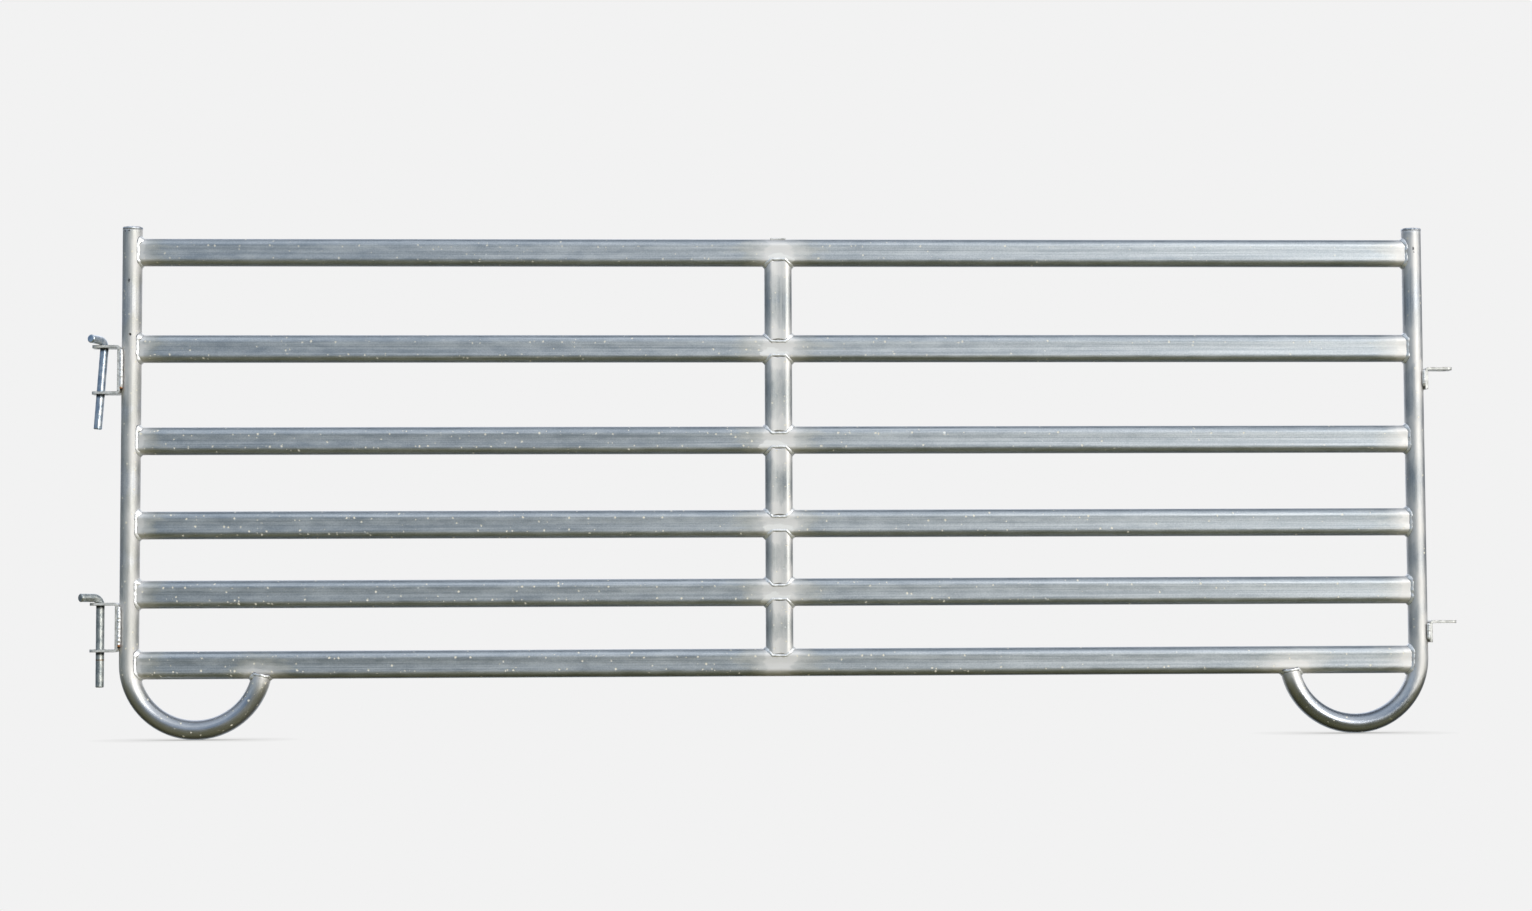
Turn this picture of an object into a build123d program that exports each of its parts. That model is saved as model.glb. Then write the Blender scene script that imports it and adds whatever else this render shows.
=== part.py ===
"""Sheep panel: six flat-oval tube rails welded between two bent tube posts.

Drop pins on the left post and eye lugs on the right post couple it to the next panels.
Millimetres. +X runs along the panel to the right, +Y to the back, +Z up. The origin is on
the ground, midway between the posts.
"""

import os
from math import asin, atan, cos, degrees, radians, sqrt, tan

from build123d import *

# Posts: round tube that stands above the top rail, bent at the bottom into a foot that
# comes back up to the bottom rail
post_spacing = 2800.0
post_diameter = 42.4
post_wall = 2.0
post_rise = 20.5
foot_bend_radius = 143.0
foot_end_lap = 8.0
seat_sweep = 60.0  # degrees of the foot's bend that the bottom rail's cope can reach
vent_diameter = 5.0
vent_rail = "upper_rail"

# Post caps: domed discs on the posts' top ends
cap_overhang = 0.6
cap_rim = 4.0
cap_crown = 2.5

# Rails and uprights: flat-oval tube
oval_height = 60.0
oval_depth = 30.0
oval_wall = 1.5
upright_fit_gap = 0.4

# Rail places: the bottom rail's underside above the ground, then the clear gaps upwards
bottom_rail_clearance = 130.0
rail_gaps = [92.0, 89.0, 122.0, 140.0, 150.0]

# Small tab that lies on the crest of the top rail
tab_length = 33.0
tab_width = 14.0
tab_rise = 2.5
tab_corner = 1.0

# Coupling hardware: flat bar brackets on the left post, eye lugs on the right post
coupling_heights = [242.0, 797.0]
bar_width = 40.0
bar_thickness = 6.0
bar_bend_inside = 2.0
bar_tip_radius = 10.0
bar_reach = 61.3
bracket_gap = 94.0
lug_leg = 48.0
pin_offset = 40.8

# Drop pins: round bar bent to an L, hanging by the bend in loose holes
pin_diameter = 18.0
pin_bend_radius = 18.0
pin_handle = 52.0
pin_tail = 75.5
pin_end_chamfer = 1.5
pin_hole_clearance = 4.2
pin_side_gap = 0.35
pin_rest_gap = 0.3
eye_clearance = 2.0
handle_turns = [47.0, 66.0]

# Welds
seam_size = 3.0
groove_bead_radius = 6.0
groove_bead_inset = 3.0
groove_bead_shift = 1.0

# Worked out from the sizes above
LEFT, RIGHT = -1, 1
post_radius = post_diameter / 2
bend_height = foot_bend_radius + post_radius
post_x = post_spacing / 2
rail_pitches = [gap + oval_height for gap in rail_gaps]
bottom_rail_height = bottom_rail_clearance + oval_height / 2
rail_heights = [bottom_rail_height + sum(rail_pitches[:i]) for i in range(len(rail_gaps) + 1)]
top_rail_crest = rail_heights[-1] + oval_height / 2
post_top = top_rail_crest + post_rise
rail_names = [
    "bottom_rail",
    "lower_rail",
    "lower_middle_rail",
    "upper_middle_rail",
    "upper_rail",
    "top_rail",
]
upright_names = [
    "bottom_upright",
    "lower_upright",
    "middle_upright",
    "upper_upright",
    "top_upright",
]
pin_radius = pin_diameter / 2
flange_top = bracket_gap / 2 + bar_thickness


def bent_post(side, section, sweep):
    """The section carried down a post and round its foot by the sweep's angle."""
    x = side * post_x
    straight = extrude(Pos(x, 0, bend_height) * section, post_top - bend_height)
    bend_axis = Axis((x - side * foot_bend_radius, 0, bend_height), (0, side, 0))
    foot = revolve(Pos(x, 0, bend_height) * section, bend_axis, sweep)
    return straight + foot


def foot_sweep():
    """The bend's angle from the post to where the foot laps the bottom rail's underside."""
    drop = bend_height - bottom_rail_clearance - foot_end_lap
    return 180 - degrees(asin(drop / foot_bend_radius))


def post_rod(side, sweep, grow=0.0):
    """The post filled solid, its surface moved outwards by grow."""
    return bent_post(side, Circle(post_radius + grow), sweep)


def oval(grow=0.0):
    """The flat-oval outline, long side along local X, moved outwards by grow."""
    return SlotOverall(oval_height + 2 * grow, oval_depth + 2 * grow)


def oval_ring():
    return oval() - oval(-oval_wall)


def along_rail(section, height):
    """A flat-oval section carried from post centre to post centre at a height."""
    start = Plane(origin=(-post_x, 0, height), x_dir=(0, 0, 1), z_dir=(1, 0, 0))
    return extrude(start * section, post_spacing)


def along_upright(section, low, high):
    """A flat-oval section carried up at mid length."""
    return extrude(Pos(0, 0, low) * section, high - low)


def post(side):
    """A post tube, its foot's end coped to the bottom rail, the left one with a vent hole in front."""
    ring = Circle(post_radius) - Circle(post_radius - post_wall)
    part = bent_post(side, ring, foot_sweep()) - along_rail(oval(), rail_heights[0])
    if side == LEFT:
        vent_height = rail_heights[rail_names.index(vent_rail)] + oval_height / 2
        drill = extrude(Plane.XZ * Circle(vent_diameter / 2), post_diameter)
        part -= Pos(side * post_x, 0, vent_height) * drill
    return part


def post_cap(side):
    """A disc with an upright rim and a crowned top, cut from a large ball."""
    rim_radius = post_radius + cap_overhang
    ball_radius = (rim_radius**2 + cap_crown**2) / (2 * cap_crown)
    cap_height = cap_rim + cap_crown
    disc = Cylinder(rim_radius, cap_height, align=(Align.CENTER, Align.CENTER, Align.MIN))
    disc &= Pos(0, 0, cap_height - ball_radius) * Sphere(ball_radius)
    return Pos(side * post_x, 0, post_top) * disc


def rail(height):
    """A rail tube, both ends coped to the posts."""
    part = along_rail(oval_ring(), height)
    for side in (LEFT, RIGHT):
        part -= post_rod(side, seat_sweep)
    return part


def upright(low, high):
    """An upright tube, both ends coped to the rails with a fit-up gap."""
    part = along_upright(oval_ring(), low, high)
    for height in (low, high):
        part -= along_rail(oval(upright_fit_gap), height)
    return part


def top_rail_tab():
    """A small pad with softened edges, its underside hollowed to the rail's crest."""
    pad_height = oval_depth / 2
    block = Box(tab_length, tab_width, pad_height, align=(Align.CENTER, Align.CENTER, Align.MAX))
    block = fillet(block.faces().sort_by(Axis.Z)[-1].edges(), tab_corner)
    return Pos(0, 0, top_rail_crest + tab_rise) * block - along_rail(oval(), rail_heights[-1])


def beside_post(side, height):
    """A place on a post's outer side whose local X points away from the panel."""
    turn = 0 if side == RIGHT else 180
    return Pos(side * (post_x + post_radius), 0, height) * Rot(0, 0, turn)


def nearest_corners(outline, points):
    """The outline's corners at the given points."""
    return [outline.vertices().sort_by_distance(point)[0] for point in points]


def bent_bar(corners, outside, inside):
    """Flat bar bent to an outline in the XZ plane, with round bends and rounded tips."""
    outline = make_face(Polyline(*corners, close=True))
    outline = fillet(nearest_corners(outline, outside), bar_bend_inside + bar_thickness)
    outline = fillet(nearest_corners(outline, inside), bar_bend_inside)
    bar = extrude(Plane.XZ * outline, bar_width / 2, both=True)
    tips = bar.edges().filter_by(Axis.Z).group_by(Axis.X)[-1]
    return fillet(tips, bar_tip_radius)


def bar_hole(clearance, depth):
    """A vertical hole through the bars at the pin's place."""
    return Pos(pin_offset, 0, 0) * Cylinder(pin_radius + clearance, depth)


def pin_bracket(height):
    """A U of flat bar: web against the post, two flanges with holes for the pin."""
    half = bracket_gap / 2
    outside = [(0, flange_top), (0, -flange_top)]
    inside = [(bar_thickness, half), (bar_thickness, -half)]
    corners = [
        outside[0],
        (bar_reach, flange_top),
        (bar_reach, half),
        *inside,
        (bar_reach, -half),
        (bar_reach, -flange_top),
        outside[1],
    ]
    bracket = bent_bar(corners, outside, inside)
    bracket -= bar_hole(pin_hole_clearance, 2 * flange_top)
    return beside_post(LEFT, height) * bracket


def eye_lug(height):
    """An L of flat bar: leg down the post, plate with the eye at the bracket gap's middle."""
    top = bar_thickness / 2
    outside = [(0, top)]
    inside = [(bar_thickness, -top)]
    corners = [
        outside[0],
        (bar_reach, top),
        (bar_reach, -top),
        *inside,
        (bar_thickness, top - lug_leg),
        (0, top - lug_leg),
    ]
    lug = bent_bar(corners, outside, inside) - bar_hole(eye_clearance, bar_thickness)
    return beside_post(RIGHT, height) * lug


def pin_lean():
    """The angle, in degrees, at which a pin leans on both of its loose holes."""
    return degrees(atan((pin_hole_clearance - pin_side_gap) / flange_top))


def drop_pin(height, lean, turn):
    """A bent bar hanging in its bracket: lean tips it sideways, turn swings its handle forward."""
    rim = pin_radius + pin_hole_clearance + flange_top * tan(radians(lean)) * cos(radians(turn))
    overhang = max(pin_bend_radius - rim, 0)
    rise = sqrt((pin_bend_radius - pin_radius) ** 2 - overhang**2)
    bend_start = flange_top - rise + pin_rest_gap
    shank_end = -flange_top - pin_tail
    bar = Circle(pin_radius)
    shank = extrude(Pos(0, 0, shank_end) * bar, bend_start - shank_end)
    shank = chamfer(shank.faces().sort_by(Axis.Z)[0].edges(), pin_end_chamfer)
    bend_axis = Axis((pin_bend_radius, 0, bend_start), (0, 1, 0))
    bend = revolve(Pos(0, 0, bend_start) * bar, bend_axis, 90)
    handle_start = Plane(
        origin=(pin_bend_radius, 0, bend_start + pin_bend_radius), x_dir=(0, 1, 0), z_dir=(1, 0, 0)
    )
    handle = extrude(handle_start * bar, pin_handle - pin_bend_radius)
    handle = chamfer(handle.faces().sort_by(Axis.X)[-1].edges(), pin_end_chamfer)
    place = beside_post(LEFT, height) * Pos(pin_offset, 0, 0) * Rot(0, -lean, 0)
    return place * Rot(0, 0, turn) * (shank + bend + handle)


def rail_seam(side, height):
    """The weld round one rail end, in the corner between rail and post."""
    collar = along_rail(oval(seam_size), height) & post_rod(side, seat_sweep, seam_size)
    return collar - along_rail(oval(), height) - post_rod(side, seat_sweep)


def upright_seam(low, high, at):
    """The weld round one end of an upright, where it meets the rail at that height."""
    collar = along_upright(oval(seam_size), low, high) & along_rail(oval(seam_size), at)
    collar -= along_rail(oval(), at)
    collar -= along_upright(oval(), low, high)
    flat_half = (oval_height - oval_depth) / 2 - seam_size
    return collar - Pos(0, 0, at) * Box(2 * oval_height, 2 * oval_height, 2 * flat_half)


def foot_seam(side):
    """The weld round a foot's end, where it meets the bottom rail's underside."""
    core = along_rail(oval(), rail_heights[0])
    beyond_end = foot_sweep() + degrees(seam_size / foot_bend_radius)
    collar = post_rod(side, beyond_end, seam_size) & along_rail(oval(seam_size), rail_heights[0])
    collar = collar - core - post_rod(side, foot_sweep())
    inner_half = Pos(side * (post_x - 2 * foot_bend_radius), 0, rail_heights[0])
    return collar & inner_half * Box(2 * foot_bend_radius, 2 * oval_height, 2 * oval_height)


def groove_beads(side, height, run, bar):
    """Two weld runs, front and back, in the grooves between a bent bar and its post."""
    y = bar_width / 2 - groove_bead_inset
    beads = []
    for front_back in (-1, 1):
        rod = Pos(-groove_bead_shift, front_back * y, 0) * Cylinder(groove_bead_radius, run)
        beads.append(beside_post(side, height) * rod - post_rod(side, seat_sweep) - bar)
    return beads


def save(name, *solids):
    """Write one node, a single solid or a group of separate ones."""
    shape = solids[0] if len(solids) == 1 else Compound(children=list(solids))
    export_step(shape, f"parts/{name}.step")


def main():
    os.makedirs("parts", exist_ok=True)
    for side, word in ((LEFT, "left"), (RIGHT, "right")):
        save(f"{word}_post", post(side))
        save(f"{word}_post_cap", post_cap(side))
        save(f"{word}_rail_welds", *[rail_seam(side, height) for height in rail_heights])
        save(f"{word}_foot_weld", foot_seam(side))
    for name, height in zip(rail_names, rail_heights):
        save(name, rail(height))
    bays = list(zip(rail_heights, rail_heights[1:]))
    for name, (low, high) in zip(upright_names, bays):
        save(name, upright(low, high))
    save("upright_welds", *[upright_seam(low, high, at) for low, high in bays for at in (low, high)])
    save("top_rail_tab", top_rail_tab())
    leans = [0.0, pin_lean()]
    web_run = bracket_gap - 2 * bar_bend_inside
    leg_run = lug_leg - 2 * bar_thickness
    leg_middle = (bar_thickness - lug_leg) / 2
    bracket_beads = []
    lug_beads = []
    for word, height, lean, turn in zip(("lower", "upper"), coupling_heights, leans, handle_turns):
        bracket = pin_bracket(height)
        lug = eye_lug(height)
        save(f"{word}_pin_bracket", bracket)
        save(f"{word}_drop_pin", drop_pin(height, lean, turn))
        save(f"{word}_eye_lug", lug)
        bracket_beads += groove_beads(LEFT, height, web_run, bracket)
        lug_beads += groove_beads(RIGHT, height + leg_middle, leg_run, lug)
    save("bracket_welds", *bracket_beads)
    save("lug_welds", *lug_beads)


main()
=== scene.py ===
"""Looks of the sheep panel: galvanised tube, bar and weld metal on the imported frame.

Metres, in the part's own frame: +X along the panel to the eye lugs, +Y to the back, +Z up.
"""

from math import cos, pi, radians, sin

import bpy
import numpy as np
from mathutils import Matrix, Vector


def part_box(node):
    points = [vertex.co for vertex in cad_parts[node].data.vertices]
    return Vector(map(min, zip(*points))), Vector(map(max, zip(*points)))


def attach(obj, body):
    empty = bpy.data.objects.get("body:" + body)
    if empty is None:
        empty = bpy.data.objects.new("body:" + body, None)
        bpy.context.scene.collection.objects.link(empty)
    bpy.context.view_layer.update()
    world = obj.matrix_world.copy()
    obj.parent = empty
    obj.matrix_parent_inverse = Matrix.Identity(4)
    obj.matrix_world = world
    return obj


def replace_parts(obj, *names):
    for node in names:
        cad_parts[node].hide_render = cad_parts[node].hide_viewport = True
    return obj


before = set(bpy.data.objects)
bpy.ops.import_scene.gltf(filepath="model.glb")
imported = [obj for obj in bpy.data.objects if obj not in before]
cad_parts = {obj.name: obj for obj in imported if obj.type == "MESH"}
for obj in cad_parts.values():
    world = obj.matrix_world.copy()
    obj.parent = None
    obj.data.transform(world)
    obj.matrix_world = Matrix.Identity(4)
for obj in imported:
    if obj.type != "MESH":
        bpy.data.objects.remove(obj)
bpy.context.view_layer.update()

# Photograph's frame and the camera that took it
IMAGE_WIDTH_PX = 1532
FOCAL_LENGTH_PX = 2761.0
SENSOR_WIDTH_MM = 36.0
CAMERA_PLACE = (-0.268, -6.0, 0.261)
CAMERA_YAW = radians(-2.293)
CAMERA_PITCH = radians(3.323)
CAMERA_ROLL = radians(-0.25)

# Pieces of the panel, from the ground up
RAILS = ["bottom_rail", "lower_rail", "lower_middle_rail", "upper_middle_rail", "upper_rail", "top_rail"]
UPRIGHTS = ["bottom_upright", "lower_upright", "middle_upright", "upper_upright", "top_upright"]
LEFT, RIGHT = -1, 1
SIDES = {"left": LEFT, "right": RIGHT}

# Sizes read from the frame
post_low, post_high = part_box("left_post")
post_radius = post_high.y
post_x = -post_low.x - post_radius
post_top = post_high.z
cap_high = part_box("left_post_cap")[1]
rail_boxes = [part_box(name) for name in RAILS]
rail_heights = [(low.z + high.z) / 2 for low, high in rail_boxes]
oval_half_height = (rail_boxes[0][1].z - rail_boxes[0][0].z) / 2
oval_end_radius = rail_boxes[0][1].y
oval_flat = oval_half_height - oval_end_radius
oval_girth = 4 * oval_flat + 2 * pi * oval_end_radius
bracket_boxes = [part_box(f"{word}_pin_bracket") for word in ("lower", "upper")]
lug_boxes = [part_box(f"{word}_eye_lug") for word in ("lower", "upper")]
bar_half_width = lug_boxes[0][1].y

# Tubes, where the boxes don't give a size. A dish is the hollow that the rolls left in an oval's sides.
FOOT_BEND_RADIUS = 0.143
FOOT_END_LAP = 0.008
POST_WALL = 0.002
VENT_RADIUS = 0.0025
OVAL_WALL = 0.0015
RAIL_DISHES = [0.0003, 0.00025, 0.00025, 0.0003, 0.00025, 0.00015]
UPRIGHT_DISH = 0.0003
bend_height = FOOT_BEND_RADIUS + post_radius
bend_x = post_x - FOOT_BEND_RADIUS
post_straight = post_top - bend_height
foot_end_drop = bend_height - rail_heights[0] + oval_half_height - FOOT_END_LAP
foot_end_turn = pi - np.arcsin(foot_end_drop / FOOT_BEND_RADIUS)
vent_drop = post_top - rail_heights[4] - oval_half_height

# Caps. The notch's start and fade are shares of the cap's radius, its place and width turns in radians.
CAP_RIM = 0.004
CAP_EDGE = 0.0009
CAP_TOP_INSET = 0.3 * CAP_EDGE
CAP_POLE = 0.0004
CAP_RIM_WANDER = 0.00035
CAP_RIM_WAVES = np.arange(2, 14)
CAP_CROWN_WANDER = 0.0004
CAP_CROWN_WAVES = np.arange(2, 17)
CAP_NOTCHES = {"left": 0.0, "right": 0.0035}
NOTCH_PLACE = radians(8)
NOTCH_WIDTH = 0.11
NOTCH_START = 0.6
NOTCH_FADE = 0.3

# Weld beads. Each size is a half height outwards and a half width across.
BEAD_MOUND = (0.0014, 0.0028)
BEAD_FILLET = (0.0037, 0.012)
BEAD_SQUARE_POWER = 1.5
BEAD_BURIED_SHARE = 0.5
BEAD_START_SWELLS = {LEFT: 0.8, RIGHT: 0.3}
BEAD_LUMPS = 0.08
BEAD_LUMP_WAVES = np.arange(3, 14)
BEAD_RIPPLE = 0.0035
BEAD_RIPPLE_SHARE = 0.02
BEAD_RIPPLE_BOW = 1.5
GROOVE_BEAD = (0.0042, 0.0044)
GROOVE_BEAD_INSET = 0.0025
GROOVE_BEAD_SHIFT = 0.002
GROOVE_LUMPS = 0.045
GROOVE_END_SHARE = 0.25
BRACKET_BEAD_HALF = 0.045
LUG_BEAD_HALF = 0.018
BEAD_RUST_RISE = 0.014

# How far heat marks reach from a weld, and the zinc runs that start at the uprights below the rails
HEAT_REACHES = {LEFT: 0.032, RIGHT: 0.048}
MIDDLE_HEAT_REACH = 0.05
MIDDLE_HEAT_HALF = 0.012
UPRIGHT_HEAT_REACH = 0.07
ZINC_RUN_HALF = 0.046
ZINC_RUN_RISE = 0.022
ZINC_RUN_LEANS = [0.0, -0.008, -0.004, -0.014, -0.014, 0.006]

# Bars, and the painted shade below the flanges and the wear where the pins hang in the brackets
BAR_THICKNESS = 0.006
BAR_EDGE = 0.0019
SEAT_SHADE_DEPTH = 0.009
PIN_RING_DROP = 0.0165
PIN_RING_HALF = 0.0014

# Where the tubes' runs begin in their UVs, so that no two show the same stretch of a pattern
RAIL_RUN_SPREAD = 10
UPRIGHT_RUN_START = 20
POST_RUN_STARTS = {LEFT: 37.0, RIGHT: 43.0}

# Nicks in the posts: drop from the top, way round to the outer side from the front, half length, half width
POST_NICKS = {
    LEFT: [(0.005, 0.0142, 0.0013, 0.003), (0.005, 0.0048, 0.0013, 0.003), (0.113, 0.003, 0.0042, 0.0018)],
    RIGHT: [(0.042, -0.0011, 0.0035, 0.0018), (0.05, 0.0005, 0.002, 0.0014)],
}

# Grids. A rail's steps are shares of its half length, finer in stretches of a middle, a reach and a step.
OVAL_COLUMNS = 97
RAIL_STEP = 0.014
RAIL_FINE = [(-1, 0.06, 0.003), (0, 0.065, 0.003), (1, 0.06, 0.003)]
UPRIGHT_ROWS = 41
POST_STEP = 0.006
POST_TURN_STEP = pi / 36
BEND_ROWS = 81
VENT_REACH = 3 * VENT_RADIUS
VENT_STEP = VENT_RADIUS / 4
CAP_COLUMNS = 96
CAP_UNDER_ROWS = 6
CAP_EDGE_ROWS = 5
CAP_CROWN_ROWS = 14
SEAM_POINTS = 220
GROOVE_POINTS = 120
BEAD_COLUMNS = 24

rng = np.random.default_rng(7)


# Meshes

def unit(vectors):
    """Vectors divided by their lengths."""
    return vectors / np.linalg.norm(vectors, axis=-1, keepdims=True)


def smooth(value):
    """0 below 0, 1 above 1 and an S between them."""
    t = np.clip(value, 0, 1)
    return t * t * (3 - 2 * t)


def stack(*parts):
    """Numbers or arrays side by side as the last axis of one array."""
    return np.stack(np.broadcast_arrays(*parts), -1)


def lines(start, stop, step, fine=()):
    """Grid lines about a step apart, with finer ones spliced in at each (middle, reach, small step)."""
    made = np.linspace(start, stop, round((stop - start) / step) + 1)
    for middle, reach, small in fine:
        patch = middle + np.linspace(-reach, reach, 2 * round(reach / small) + 1)
        patch = patch[(patch > start + small / 2) & (patch < stop - small / 2)]
        rest = made[1:-1][np.abs(made[1:-1] - middle) > reach + small / 2]
        made = np.concatenate([made[:1], np.sort(np.concatenate([rest, patch])), made[-1:]])
    return made


def surface(points, uv=None, closed=True, hole=None, marks=None):
    """A grid of points, rows by columns, that wraps round from its last column to its first.

    A closed one also wraps from its last row to its first; an open one is shut by a flat face at each
    end. uv has one row and one column more, so that it can run on past the seams. hole gives the first
    and last row and column of a square opening through a wall whose inside is the second half of the rows.
    marks are named grids of numbers, one for each point.
    """
    return {"points": points, "uv": uv, "closed": closed, "hole": hole, "marks": marks or {}}


def square_ring(first_row, last_row, first_column, last_column):
    """Rows and columns of the points round a square of a grid, in the order of its faces."""
    down = np.arange(first_row, last_row)
    along = np.arange(first_column, last_column)
    rows = [np.full(len(along), first_row), down, np.full(len(along), last_row), down[::-1] + 1]
    columns = [along, np.full(len(down), last_column), along[::-1] + 1, np.full(len(down), first_column)]
    return np.concatenate(rows), np.concatenate(columns)


def grid_faces(grid, start):
    """A grid's faces, with its points numbered from start: lists of corners, of corner UVs and of sizes."""
    points, uv, hole = grid["points"], grid["uv"], grid["hole"]
    rows, columns = points.shape[:2]
    if uv is None:
        uv = np.zeros((rows + 1, columns + 1, 2))
    corners, corner_uv, sizes = [], [], []
    i, j = np.meshgrid(np.arange(rows if grid["closed"] else rows - 1), np.arange(columns), indexing="ij")
    i, j = i.ravel(), j.ravel()
    if hole is not None:
        first, last, left, right = hole
        outside = (i >= first) & (i < last)
        inside = (i >= rows - 1 - last) & (i < rows - 1 - first)
        kept = ~((outside | inside) & (j >= left) & (j < right))
        i, j = i[kept], j[kept]
        a, b = square_ring(*hole)
        ring = start + a * columns + b
        back = start + (rows - 1 - a) * columns + b
        wall = np.stack([ring, np.roll(ring, -1), np.roll(back, -1), back], -1)
        corners.append(wall.ravel())
        corner_uv.append(np.repeat(uv[a, b], 4, 0))
        sizes.append(np.full(len(wall), 4))
    square = [(i, j), (i, j + 1), (i + 1, j + 1), (i + 1, j)]
    corners.append(np.stack([start + a % rows * columns + b % columns for a, b in square], -1).ravel())
    corner_uv.append(np.stack([uv[a, b] for a, b in square], -2).reshape(-1, 2))
    sizes.append(np.full(len(i), 4))
    if not grid["closed"]:
        ring = np.arange(columns)
        corners += [start + ring[::-1], start + (rows - 1) * columns + ring]
        corner_uv += [uv[0, ring[::-1]], uv[rows - 1, ring]]
        sizes.append(np.full(2, columns))
    return corners, corner_uv, sizes


def piece(name, surfaces, material, marks=None):
    """One mesh of grid surfaces, with a point attribute for each of their marks.

    marks here are more of them, each a function of the points.
    """
    corners, corner_uv, sizes = [], [], []
    start = 0
    for grid in surfaces:
        for held, more in zip((corners, corner_uv, sizes), grid_faces(grid, start)):
            held += more
        start += grid["points"].shape[0] * grid["points"].shape[1]
    corners, corner_uv, sizes = map(np.concatenate, (corners, corner_uv, sizes))
    points = np.concatenate([grid["points"].reshape(-1, 3) for grid in surfaces])
    mesh = bpy.data.meshes.new(name)
    mesh.vertices.add(len(points))
    mesh.vertices.foreach_set("co", points.astype(np.float32).ravel())
    mesh.loops.add(len(corners))
    mesh.loops.foreach_set("vertex_index", corners.astype(np.int32))
    mesh.polygons.add(len(sizes))
    mesh.polygons.foreach_set("loop_start", (np.cumsum(sizes) - sizes).astype(np.int32))
    mesh.update(calc_edges=True)
    mesh.uv_layers.new(name="run").data.foreach_set("uv", corner_uv.astype(np.float32).ravel())
    values = {mark: value(points) for mark, value in (marks or {}).items()}
    for mark in surfaces[0]["marks"]:
        values[mark] = np.concatenate([grid["marks"][mark].ravel() for grid in surfaces])
    for mark, value in values.items():
        layer = mesh.attributes.new(mark, "FLOAT", "POINT")
        layer.data.foreach_set("value", value.astype(np.float32))
    mesh.shade_smooth()
    mesh.materials.append(material)
    made = bpy.data.objects.new(name, mesh)
    bpy.context.scene.collection.objects.link(made)
    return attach(made, "panel")


# Tubes

def oval(v):
    """The flat-oval outline at arc length v from the middle of its front side, upwards.

    Two straight sides joined by half circles: past the straight half side the outward direction
    turns by the arc over the radius, half a turn in all, and then the back side runs down again.
    Gives depth, height and the outward direction's depth and height.
    """
    v = (v + oval_girth / 2) % oval_girth - oval_girth / 2
    way = np.where(v < 0, -1.0, 1.0)
    run = np.abs(v)
    turn = np.clip((run - oval_flat) / oval_end_radius, 0, pi)
    height = np.minimum(run, oval_flat) - np.clip(run - oval_flat - pi * oval_end_radius, 0, oval_flat)
    depth = -oval_end_radius * np.cos(turn)
    return depth, way * (height + oval_end_radius * np.sin(turn)), -np.cos(turn), way * np.sin(turn)


def dished_oval(dish):
    """Arc lengths round the oval and its outline there, with its sides hollowed a little by the rolls.

    The hollow is a smooth bowl: the dish times the square of one less the height's square over the flat's.
    """
    v = np.linspace(-oval_girth / 2, oval_girth / 2, OVAL_COLUMNS)
    depth, height, out_depth, out_height = oval(v)
    hollow = dish * np.clip(1 - (height / oval_flat) ** 2, 0, 1) ** 2 * np.sign(depth)
    return v, depth - hollow, height, out_depth, out_height


def tube_shell(outside, inside, outside_uv, inside_uv, hole=None):
    """A hollow tube as one closed grid: out along the outside, back along the inside.

    The four grids have one column more than the tube, a repeat of the first.
    """
    points = np.concatenate([outside, inside[::-1]])[:, :-1]
    uv = np.concatenate([outside_uv, inside_uv[::-1], outside_uv[:1]])
    return surface(points, uv, hole=hole)


def oval_end_rise(depth):
    """How far the oval's half circles rise above its straight sides at a depth, by the circle's chord."""
    return np.sqrt(np.maximum(oval_end_radius**2 - depth**2, 0))


def post_reach(depth, height):
    """How far a post's inner side stands from the panel's middle at a depth and height.

    Beside the straight post it is the post's centre less the half chord of its circle; beside the
    foot's bend the same chord is taken off the bend's radius.
    """
    chord = np.sqrt(np.maximum(post_radius**2 - depth**2, 0))
    drop = np.maximum(bend_height - height, 0)
    return bend_x + np.sqrt((FOOT_BEND_RADIUS - chord) ** 2 - drop**2)


def rail(name, height, dish, lean, material):
    """A flat-oval tube between the posts: the oval at shares of its reach to them, both ends coped."""
    v, depth, rise, out_depth, out_rise = dished_oval(dish)
    inner_depth, inner_rise = depth - OVAL_WALL * out_depth, rise - OVAL_WALL * out_rise
    share = lines(-1, 1, RAIL_STEP, RAIL_FINE)[:, None]
    ends = share[[0, -1]]
    outside = stack(share * post_reach(depth, height + rise), depth, height + rise)
    inside = stack(ends * post_reach(inner_depth, height + inner_rise), inner_depth, height + inner_rise)
    run = RAIL_RUN_SPREAD * height
    grid = tube_shell(outside, inside, stack(share * post_x + run, v), stack(ends * post_x + run, v))
    marks = {"weld_heat": rail_heat(height), "zinc_run": zinc_run(height, lean)}
    return piece(name + "_tube", [grid], material, marks)


def upright(name, low, high, material):
    """A short flat-oval tube: the oval at shares of the height between two rails' rounded edges."""
    v, depth, width, out_depth, out_width = dished_oval(UPRIGHT_DISH)
    inner_depth, inner_width = depth - OVAL_WALL * out_depth, width - OVAL_WALL * out_width
    share = np.linspace(1, 0, UPRIGHT_ROWS)[:, None]
    ends = [0, -1]

    def wall(width, depth, share):
        """Points at a share of the height that is left between the two rails' edges at their depth."""
        rise = oval_flat + oval_end_rise(depth)
        return stack(width, depth, low + rise + share * (high - low - 2 * rise))

    run = UPRIGHT_RUN_START + low + share * (high - low)
    outside = wall(width, depth, share)
    inside = wall(inner_width, inner_depth, share[ends])
    grid = tube_shell(outside, inside, stack(run, v), stack(run[ends], v))
    return piece(name + "_tube", [grid], material, {"weld_heat": upright_heat(low, high)})


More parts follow.
